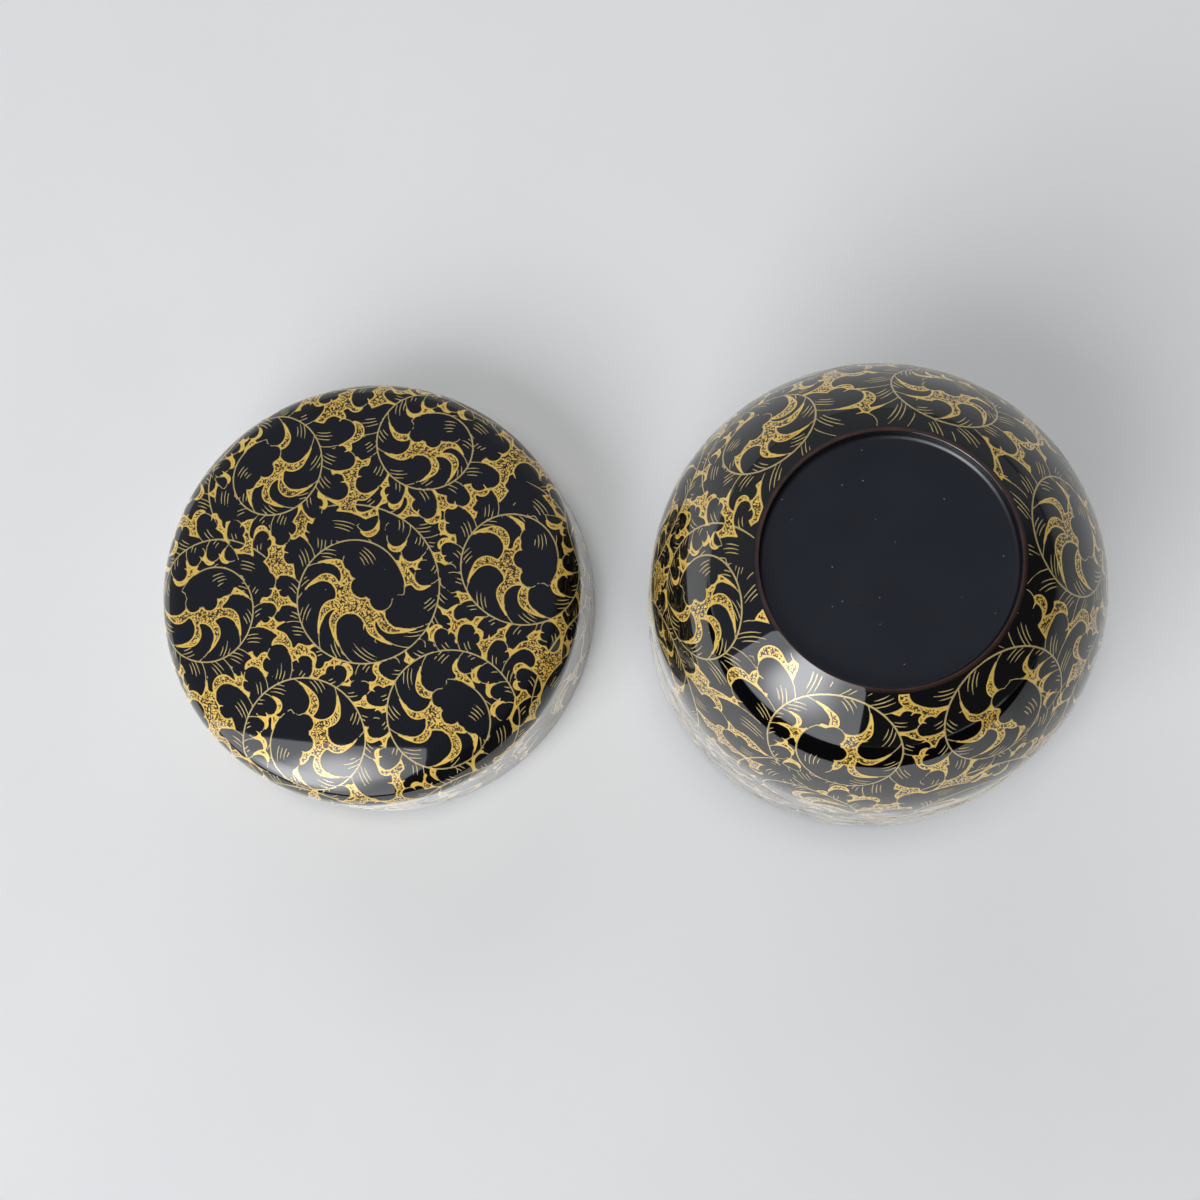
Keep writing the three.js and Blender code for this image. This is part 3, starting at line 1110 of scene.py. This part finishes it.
def fill_sockets(tree, node, inputs):
    for socket, value in inputs.items():
        if isinstance(value, bpy.types.NodeSocket):
            tree.links.new(value, node.inputs[socket])
        else:
            node.inputs[socket].default_value = value


def add_node(tree, kind, inputs, **settings):
    made = tree.nodes.new("ShaderNode" + kind)
    for name, value in settings.items():
        setattr(made, name, value)
    fill_sockets(tree, made, inputs)
    return made


def new_material(name):
    material = bpy.data.materials.new(name)
    material.use_nodes = True
    tree = material.node_tree
    place = add_node(tree, "TexCoord", {}).outputs["Object"]
    print("material", name)
    return material, tree, tree.nodes["Principled BSDF"], place


print("mid grey #808080 is", round(linear("#808080")[0], 3), "in linear light")

# %% [markdown]
# Black lacquer is tree sap, brushed on in many thin coats and polished with powder and
# oil. It is darker than paint, and its gloss is a hard mirror with motes of dust on it.
# Along the foot's fine edge the black is worn through to the brown coat below. A height
# in Object coordinates finds that edge, and cells of a Voronoi pattern scatter the dust:
# a mote shows only where a cell's middle happens to touch the surface.

# %% Polished black lacquer
LACQUER_IOR = 1.53
WORN_FROM = FOOT_Z - 0.20
WORN_TO = FOOT_Z - 0.04


def motes_of_dust(tree, place, apart, radius):
    cells = add_node(tree, "TexVoronoi", {"Vector": place, "Scale": per_size(apart)})
    return add_node(tree, "MapRange", {
        "Value": cells.outputs["Distance"], "From Min": 0.6 * radius / apart, "From Max": radius / apart,
        "To Min": 1.0, "To Max": 0.0}).outputs["Result"]


# A mirror-polished sap film: deep black, a sharp reflection, a little brown at the edge
polished, tree, shader, place = new_material("black_lacquer_mirror_polished")
sap = add_node(tree, "TexNoise", {"Vector": place, "Scale": per_size(9), "Detail": 3})
sap_colour = add_node(tree, "Mix", {
    SHARE: sap.outputs["Fac"], LOW: linear("#07080b"), HIGH: linear("#0d0c0c")}, data_type="RGBA")
height = add_node(tree, "SeparateXYZ", {0: place}).outputs["Z"]
at_foot = add_node(tree, "MapRange", {
    "Value": height, "From Min": WORN_FROM * MM, "From Max": WORN_TO * MM})
scuffs = add_node(tree, "TexNoise", {"Vector": place, "Scale": per_size(2.5), "Detail": 4})
bared = add_node(tree, "Math", {
    0: at_foot.outputs["Result"], 1: scuffs.outputs["Fac"]}, operation="MULTIPLY")
edge_colour = add_node(tree, "Mix", {
    SHARE: bared.outputs[0], LOW: sap_colour.outputs[MIXED], HIGH: linear("#54392f")}, data_type="RGBA")
dusty_colour = add_node(tree, "Mix", {
    SHARE: motes_of_dust(tree, place, apart=3.4, radius=0.09), LOW: edge_colour.outputs[MIXED],
    HIGH: linear("#9a9ca3")}, data_type="RGBA")
rubbing = add_node(tree, "TexNoise", {"Vector": place, "Scale": per_size(4), "Detail": 4})
gloss = add_node(tree, "MapRange", {
    "Value": rubbing.outputs["Fac"], "To Min": 0.02, "To Max": 0.05})
fill_sockets(tree, shader, {
    "Base Color": dusty_colour.outputs[MIXED], "Roughness": gloss.outputs["Result"], "IOR": LACQUER_IOR})

# %% [markdown]
# The recessed base is never polished: its gloss is soft, and dust stays on it. The inside
# is satin too, and a little browner, because fewer coats lie over the brown ground.

# %% Satin lacquer of the base and the inside
# An unpolished sap film: a soft sheen, faint brush marks and a few pale motes
satin, tree, shader, place = new_material("black_lacquer_satin_base")
brushed = add_node(tree, "TexNoise", {"Vector": place, "Scale": per_size(6), "Detail": 5})
base_colour = add_node(tree, "Mix", {
    SHARE: brushed.outputs["Fac"], LOW: linear("#0b0c10"), HIGH: linear("#131419")}, data_type="RGBA")
dusty_base = add_node(tree, "Mix", {
    SHARE: motes_of_dust(tree, place, apart=1.7, radius=0.08), LOW: base_colour.outputs[MIXED],
    HIGH: linear("#a9abb2")}, data_type="RGBA")
sheen = add_node(tree, "MapRange", {
    "Value": brushed.outputs["Fac"], "To Min": 0.26, "To Max": 0.36})
fill_sockets(tree, shader, {
    "Base Color": dusty_base.outputs[MIXED], "Roughness": sheen.outputs["Result"], "IOR": LACQUER_IOR})

# A thinner satin film over brown ground: warm black, with slow streaks round the bowl
lining, tree, shader, place = new_material("black_lacquer_satin_lining")
streaks = add_node(tree, "Mapping", {"Vector": place, "Scale": (1, 1, 5)})
coats = add_node(tree, "TexNoise", {
    "Vector": streaks.outputs[0], "Scale": per_size(14), "Detail": 4})
lining_colour = add_node(tree, "Mix", {
    SHARE: coats.outputs["Fac"], LOW: linear("#0d0a09"), HIGH: linear("#1a1310")}, data_type="RGBA")
soft_gloss = add_node(tree, "MapRange", {
    "Value": coats.outputs["Fac"], "To Min": 0.18, "To Max": 0.30})
fill_sockets(tree, shader, {
    "Base Color": lining_colour.outputs[MIXED], "Roughness": soft_gloss.outputs["Result"],
    "IOR": LACQUER_IOR})

# %% [markdown]
# Under the lacquer is turned cherry wood. None of it shows while the coats are whole, and
# it still gets its growth rings: rings of a wave pattern round a pith that lies outside the
# blank, bent by its own distortion, with pores drawn out along the grain.

# %% Turned wood under the coats
RING_WIDTH = 2.2
PITH = (0.058, -0.021, 0)
# A fine-grained hardwood, tan and a little red: soft sheen, close rings and short pores
wood, tree, shader, place = new_material("turned_cherry")
from_pith = add_node(tree, "Mapping", {"Vector": place, "Location": PITH})
rings = add_node(tree, "TexWave", {
    "Vector": from_pith.outputs[0], "Scale": per_size(RING_WIDTH) * math.pi / 10, "Distortion": 1.6,
    "Detail": 2, "Detail Scale": 0.4}, wave_type="RINGS", rings_direction="Z")
along_grain = add_node(tree, "Mapping", {"Vector": place, "Scale": (1, 1, 0.06)})
pores = add_node(tree, "TexNoise", {
    "Vector": along_grain.outputs[0], "Scale": per_size(0.5), "Detail": 4})
ring_colour = add_node(tree, "Mix", {
    SHARE: rings.outputs["Fac"], LOW: linear("#dcb981"), HIGH: linear("#b98a52")}, data_type="RGBA")
pore_share = add_node(tree, "MapRange", {
    "Value": pores.outputs["Fac"], "From Min": 0.56, "From Max": 0.72, "To Max": 0.5})
wood_colour = add_node(tree, "Mix", {
    SHARE: pore_share.outputs["Result"], LOW: ring_colour.outputs[MIXED],
    HIGH: linear("#7d5a35")}, data_type="RGBA")
grain = add_node(tree, "Bump", {
    "Strength": 0.4, "Distance": 0.05 * MM, "Height": pores.outputs["Fac"]})
fill_sockets(tree, shader, {
    "Base Color": wood_colour.outputs[MIXED], "Normal": grain.outputs["Normal"], "Roughness": 0.6})
for core in ("lid_core", "body_core"):
    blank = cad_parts[core]
    blank.data.materials.clear()
    blank.data.materials.append(wood)
    print(core, "is", wood.name)

# %% [markdown]
# Gold leaf is pressed into lacquer that is still tacky in the cuts, and wiped off the
# rest. Between the leaves the ground is cut all over with tiny squiggles, so the leaf is
# broken by dark lacquer there, and it is whole along the edges. Leaf on a rough ground
# scatters light more than polished metal does, so the metal is only part of it. Clear
# lacquer lies over everything, and its polished coat makes the gold fade into the
# reflection at a flat angle, just as the black does.

# %% Gold ground
GOLD_UNDER_LACQUER = {
    "Metallic": 0.12, "Roughness": 0.42, "Specular IOR Level": 0.1,
    "Coat Weight": 1.0, "Coat Roughness": 0.06, "Coat IOR": LACQUER_IOR}
# Leaf broken by squiggled cuts: a bright whole rim, and a lively gold and dark inside
gold_ground, tree, shader, place = new_material("gold_leaf_on_squiggled_ground")
depth = add_node(tree, "Attribute", {}, attribute_name="depth").outputs["Fac"]
rim = add_node(tree, "MapRange", {
    "Value": depth, "From Min": 0.16, "From Max": 0.24, "To Min": 1.0, "To Max": 0.0})
# The real squiggles are 0.1 mm wide, drawn nearly twice as coarse here to show
squiggle = add_node(tree, "TexNoise", {
    "Vector": place, "Scale": per_size(0.40), "Detail": 0.5, "Roughness": 0.4, "Distortion": 0.4})
from_half = add_node(tree, "Math", {0: squiggle.outputs["Fac"], 1: 0.5}, operation="SUBTRACT")
off_line = add_node(tree, "Math", {0: from_half.outputs[0]}, operation="ABSOLUTE")
leaf_left = add_node(tree, "MapRange", {
    "Value": off_line.outputs[0], "From Min": 0.072, "From Max": 0.11})
whole = add_node(tree, "Math", {
    0: rim.outputs["Result"], 1: leaf_left.outputs["Result"]}, operation="MAXIMUM")
cloud = add_node(tree, "TexNoise", {"Vector": place, "Scale": per_size(3), "Detail": 3})
leaf_colour = add_node(tree, "Mix", {
    SHARE: cloud.outputs["Fac"], LOW: linear("#deb149"), HIGH: linear("#efcc6a")}, data_type="RGBA")
seen_colour = add_node(tree, "Mix", {
    SHARE: whole.outputs[0], LOW: linear("#33230a"), HIGH: leaf_colour.outputs[MIXED]}, data_type="RGBA")
cut = add_node(tree, "Bump", {
    "Strength": 0.5, "Distance": 0.03 * MM, "Height": whole.outputs[0]})
fill_sockets(tree, shader, {
    "Base Color": seen_colour.outputs[MIXED], "Normal": cut.outputs["Normal"], **GOLD_UNDER_LACQUER})

# %% [markdown]
# The strokes and the backs of the curls are single cuts, so the leaf in them is whole. It
# is thin there, and its paler tone is painted reflection from the narrow cuts, varied by one soft cloud
# of noise.

# %% Gold in the fine cuts
# Leaf in a hair-thin cut: dull gold painted pale for the cut's reflection, brighter and duller along its
# length
gold_lines, tree, shader, place = new_material("gold_leaf_in_fine_cuts")
# The two pale tones are painted reflection of the narrow cuts, mixed unevenly by the noise
uneven_pale_sheen = add_node(tree, "TexNoise", {"Vector": place, "Scale": per_size(1.2), "Detail": 3})
pale_sheen_colour = add_node(tree, "Mix", {
    SHARE: uneven_pale_sheen.outputs["Fac"], LOW: linear("#ab8f4c"), HIGH: linear("#c8b680")}, data_type="RGBA")
fill_sockets(tree, shader, {"Base Color": pale_sheen_colour.outputs[MIXED], **GOLD_UNDER_LACQUER})

# %% [markdown]
# Each piece gets its material and is carried by its body, so the lid's pieces lift with
# the lid. The CAD solids that it stands for are hidden, and each row names the slot that its finish
# belongs to.

# %% Pieces ride on their bodies
for piece, material, body, slot, nodes in (
        (lid_lacquer, polished, "lid", "polished_lacquer", ["lid_outer_coat"]),
        (lid_inside, lining, "lid", "lining_lacquer", ["lid_lining"]),
        (lid_rim, polished, "lid", "lining_lacquer", ["lid_rim_coat"]),
        (body_lacquer, polished, "caddy_body", "polished_lacquer", ["body_outer_coat"]),
        (body_inside, lining, "caddy_body", "lining_lacquer", ["body_lining"]),
        (collar_lacquer, polished, "caddy_body", "lining_lacquer", ["collar_coat"]),
        (foot_lacquer, satin, "caddy_body", "base_lacquer", ["foot_coat"]),
        (lid_ground, gold_ground, "lid", "gold_inlay", []),
        (lid_lines, gold_lines, "lid", "gold_inlay", []),
        (body_ground, gold_ground, "caddy_body", "gold_inlay", []),
        (body_lines, gold_lines, "caddy_body", "gold_inlay", [])):
    piece.data.materials.clear()
    piece.data.materials.append(material)
    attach(piece, body)
    if nodes:
        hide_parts(*nodes)
    print(piece.name, "rides on", body, "and belongs to", slot)

# %% [markdown]
# The table is one pale matt sheet, far larger than the picture. Very slow, faint clouds
# in its white keep it from looking like empty space. Towards the window it is brighter
# than the picture shows, and the lacquer sees that part, so reflections alone get a glow.
# Far from the caddy, where the lamps don't reach, the camera sees it pale all the same.

# %% Table
TABLE = 6.0
TO_WINDOW = (-0.6, -0.8, 0)
bpy.ops.object.select_all(action="DESELECT")
bpy.ops.mesh.primitive_plane_add(size=TABLE, location=(0, 0, 0))
table = bpy.context.object
table.name = "table"
paper, tree, shader, place = new_material("matt_white_table")
clouds = add_node(tree, "TexNoise", {"Vector": place, "Scale": per_size(35), "Detail": 3})
table_colour = add_node(tree, "Mix", {
    SHARE: clouds.outputs["Fac"], LOW: linear("#efefef"), HIGH: linear("#f5f5f4")}, data_type="RGBA")
nearness = add_node(tree, "VectorMath", {0: place, 1: TO_WINDOW}, operation="DOT_PRODUCT")
brighter = add_node(tree, "MapRange", {
    "Value": nearness.outputs["Value"], "From Min": -0.02, "From Max": 0.10, "To Max": 0.8})
ray = add_node(tree, "LightPath", {}).outputs
glow = add_node(tree, "Math", {
    0: brighter.outputs["Result"], 1: ray["Is Glossy Ray"]}, operation="MULTIPLY")
away = add_node(tree, "VectorMath", {0: place}, operation="LENGTH")
distance = add_node(tree, "MapRange", {
    "Value": away.outputs["Value"], "From Min": 0.3, "From Max": 2.0, "To Max": 0.48})
far_part = add_node(tree, "Math", {
    0: distance.outputs["Result"], 1: ray["Is Camera Ray"]}, operation="MULTIPLY")
both = add_node(tree, "Math", {0: glow.outputs[0], 1: far_part.outputs[0]}, operation="ADD")
fill_sockets(tree, shader, {
    "Base Color": table_colour.outputs[MIXED], "Roughness": 0.9, "Emission Color": (1, 1, 1, 1),
    "Emission Strength": both.outputs[0]})
table.data.materials.append(paper)

# %% [markdown]
# A mirror shows the room, so the light is built from what the lacquer reflects. A tall
# window stands upright to the lower left. One area lamp is the window that the lacquer
# shows, and its own nodes make a bright streak down its middle.

# %% Soft window
DAYLIGHT = (0.955, 0.975, 1.0)
WINDOW_PLACE = (-0.785, -0.8, 0.985)
WINDOW_SIZE = (1.49, 1.97, 0)
WINDOW_RADIANCE = 2.8
STREAK_LOW = (0.96, 0.42, 0)
STREAK_HIGH = (0.96, 1.50, 0)
STREAK_REACH = 0.5
STREAK_GAIN = 4.2


def soft_lamp(name, place, wide, high, radiance):
    bpy.ops.object.select_all(action="DESELECT")
    bpy.ops.object.light_add(type="AREA", location=place)
    lamp = bpy.context.object
    lamp.name = name
    lamp.data.color = DAYLIGHT
    lamp.data.shape = "RECTANGLE"
    lamp.data.size = wide
    lamp.data.size_y = high
    lamp.data.energy = radiance * math.pi * wide * high
    print(name, round(lamp.data.energy, 1), "W")
    return lamp


window = soft_lamp("soft_window", WINDOW_PLACE, WINDOW_SIZE[0], WINDOW_SIZE[1], WINDOW_RADIANCE)
window.rotation_euler = (math.pi / 2, 0, 0)
window.visible_diffuse = False
window.data.use_nodes = True
tree = window.data.node_tree
across = add_node(tree, "NewGeometry", {}).outputs["Parametric"]
on_window = add_node(tree, "VectorMath", {0: across, 1: WINDOW_SIZE}, operation="MULTIPLY")
above_low = add_node(tree, "VectorMath", {
    0: on_window.outputs[0], 1: STREAK_LOW}, operation="MAXIMUM")
on_streak = add_node(tree, "VectorMath", {
    0: above_low.outputs[0], 1: STREAK_HIGH}, operation="MINIMUM")
off_streak = add_node(tree, "VectorMath", {
    0: on_window.outputs[0], 1: on_streak.outputs[0]}, operation="DISTANCE")
streak = add_node(tree, "MapRange", {
    "Value": off_streak.outputs["Value"], "From Min": 0.0, "From Max": STREAK_REACH,
    "To Min": STREAK_GAIN, "To Max": 1.0}, interpolation_type="SMOOTHERSTEP")
tree.links.new(streak.outputs["Result"], tree.nodes["Emission"].inputs["Strength"])

# %% [markdown]
# Three softer lamps, which no reflection shows, light the table so gently that shadows
# stay pale. Each is given by the direction that it shines from, and turned to the caddy.

# %% Soft lights
AIM = Vector((0, 0, 0.04))


def soft_light(name, azimuth, elevation, distance, wide, high, radiance):
    azimuth, elevation = math.radians(azimuth), math.radians(elevation)
    flat = math.cos(elevation)
    way = Vector((flat * math.cos(azimuth), flat * math.sin(azimuth), math.sin(elevation)))
    lamp = soft_lamp(name, AIM + way * distance, wide, high, radiance)
    lamp.rotation_euler = way.to_track_quat("Z", "Y").to_euler()
    lamp.visible_glossy = False


soft_light("window_light", azimuth=-124, elevation=42, distance=1.3, wide=0.95, high=0.95, radiance=3.7)
soft_light("ceiling_light", azimuth=90, elevation=90, distance=1.5, wide=0.6, high=0.6, radiance=7.7)
soft_light("back_wall_light", azimuth=110, elevation=18, distance=1.8, wide=2.4, high=1.2, radiance=1.45)

# %% [markdown]
# The room itself is dim overhead, pale along the back wall and dark to the front right.
# That is three broad washes of grey in the world, blended by direction. The camera itself
# sees a plain pale backdrop in their place.

# %% Room
UP = (0, 0, 1)
OVERHEAD = (0.275, 0.31, 0.41, 1)
BACK_WALL = (0.37, 0.385, 0.41, 1)
DARK_CORNER = (0.07, 0.07, 0.075, 1)
PALE_BACKDROP = (0.66, 0.67, 0.69, 1)
world = bpy.data.worlds.new("dim_room")
bpy.context.scene.world = world
world.cycles_visibility.diffuse = False
world.use_nodes = True
tree = world.node_tree
way = add_node(tree, "TexCoord", {}).outputs["Generated"]


def wash(towards, start, full):
    """Grows from 0 to 1 as a direction turns from start to full, along one way."""
    share = add_node(tree, "VectorMath", {0: way, 1: towards}, operation="DOT_PRODUCT")
    grown = add_node(tree, "MapRange", {
        "Value": share.outputs["Value"], "From Min": start, "From Max": full},
        interpolation_type="SMOOTHSTEP")
    return grown.outputs["Result"]


def level(azimuth):
    return (math.cos(math.radians(azimuth)), math.sin(math.radians(azimuth)), 0)


to_back = wash(level(105), start=0.0, full=0.5)
low_down = wash(UP, start=0.72, full=0.42)
low_wall = add_node(tree, "Math", {0: to_back, 1: low_down}, operation="MULTIPLY")
walls = add_node(tree, "Mix", {
    SHARE: low_wall.outputs[0], LOW: OVERHEAD, HIGH: BACK_WALL}, data_type="RGBA")
to_front_right = wash(level(-45), start=0.1, full=0.6)
room = add_node(tree, "Mix", {
    SHARE: to_front_right, LOW: walls.outputs[MIXED], HIGH: DARK_CORNER}, data_type="RGBA")
seen = add_node(tree, "LightPath", {}).outputs["Is Camera Ray"]
behind = add_node(tree, "Mix", {
    SHARE: seen, LOW: room.outputs[MIXED], HIGH: PALE_BACKDROP}, data_type="RGBA")
tree.links.new(behind.outputs[MIXED], tree.nodes["Background"].inputs["Color"])
print(world.name, "has", len(tree.nodes), "nodes")

# %% [markdown]
# The near edge of the table shows in the bowl as a dark strip under the window. A black
# card lies past that edge. Only reflections see it, so it neither shades the table nor
# shows to another camera.

# %% Dark card past the table's edge
CARD_SIZE = 2.4
CARD_TURN = math.radians(-12)
CARD_FROM = 0.172
CARD_LIFT = 0.0004
bpy.ops.object.select_all(action="DESELECT")
bpy.ops.mesh.primitive_plane_add(size=CARD_SIZE, location=(0, 0, 0))
card = bpy.context.object
card.name = "dark_card"
bpy.ops.object.mode_set(mode="EDIT")
bpy.ops.mesh.select_all(action="SELECT")
bpy.ops.transform.translate(value=(0, -CARD_SIZE / 2 - CARD_FROM, CARD_LIFT))
bpy.ops.transform.rotate(value=-CARD_TURN, orient_axis="Z", center_override=(0, 0, 0))
bpy.ops.object.mode_set(mode="OBJECT")
black_card, tree, shader, place = new_material("black_card")
fill_sockets(tree, shader, {
    "Base Color": linear("#050506"), "Roughness": 1, "Specular IOR Level": 0})
card.data.materials.append(black_card)
card.visible_camera = False
card.visible_diffuse = False
card.visible_shadow = False
print("corners of the card:", [[round(c, 3) for c in v.co] for v in card.data.vertices])

# %% [markdown]
# The camera looks almost straight down from arm's length, turned a little to one side.

# %% Camera
LENS = 48.64
SENSOR = 36
NEAREST = 0.01
CAMERA_PLACE = Vector((20.113, -34.243, 256.839)) * MM
PICTURE_RIGHT = Vector((0.99557, 0.03388, -0.08766))
PICTURE_DOWN = Vector((0.02132, -0.98985, -0.14049))
LOOKING = Vector((-0.09153, 0.13800, -0.98619))
bpy.ops.object.select_all(action="DESELECT")
bpy.ops.object.camera_add(location=CAMERA_PLACE)
camera = bpy.context.object
turned = Matrix((PICTURE_RIGHT, -PICTURE_DOWN, -LOOKING)).transposed().to_4x4()
camera.matrix_world = Matrix.Translation(CAMERA_PLACE) @ turned
camera.data.sensor_width = SENSOR
camera.data.lens = LENS
camera.data.clip_start = NEAREST
bpy.context.scene.camera = camera
bpy.context.scene.view_settings.view_transform = "Standard"
print("camera", round(CAMERA_PLACE.length, 3), "m from the middle of the table, lens", LENS, "mm")
